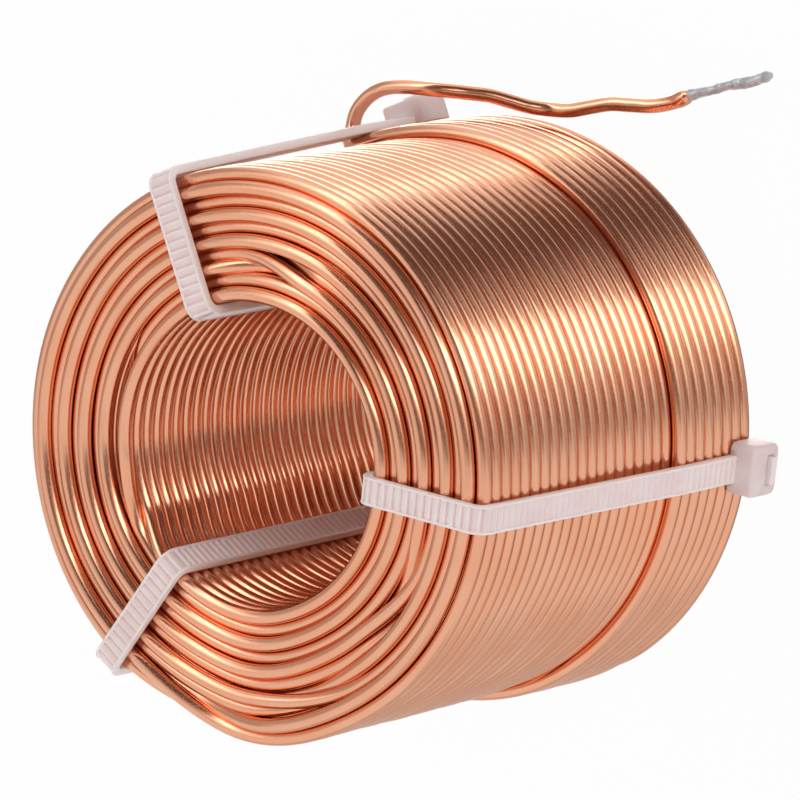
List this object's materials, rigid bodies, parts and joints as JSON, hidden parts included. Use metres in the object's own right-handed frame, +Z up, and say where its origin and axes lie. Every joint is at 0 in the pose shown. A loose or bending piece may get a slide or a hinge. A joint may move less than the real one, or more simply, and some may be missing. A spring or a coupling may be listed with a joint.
{
  "type": "air core inductor coil",
  "caption": "Multilayer air-core choke of enamelled copper wire, wound in staggered layers with tinned leads and held by nylon cable ties.",
  "frame": {"origin": "on the winding's axis, in the plane of the surface that the coil stands on", "axes": "+Z up along the winding's axis; +X is 7 degrees anticlockwise, seen from above, of the first cable tie"},
  "size_m": [0.0698, 0.0643, 0.0469],
  "materials": {
    "enamelled_copper": "clear gloss enamel over bright copper",
    "solder": "rough hand-tinned solder",
    "nylon": "translucent natural nylon"
  },
  "bodies": {
    "root": {"winding": "enamelled_copper", "finish_lead_solder": "solder", "start_lead_solder": "solder", "cable_tie_right": "nylon", "cable_tie_upper": "nylon", "cable_tie_lower": "nylon"}
  },
  "joints": []
}
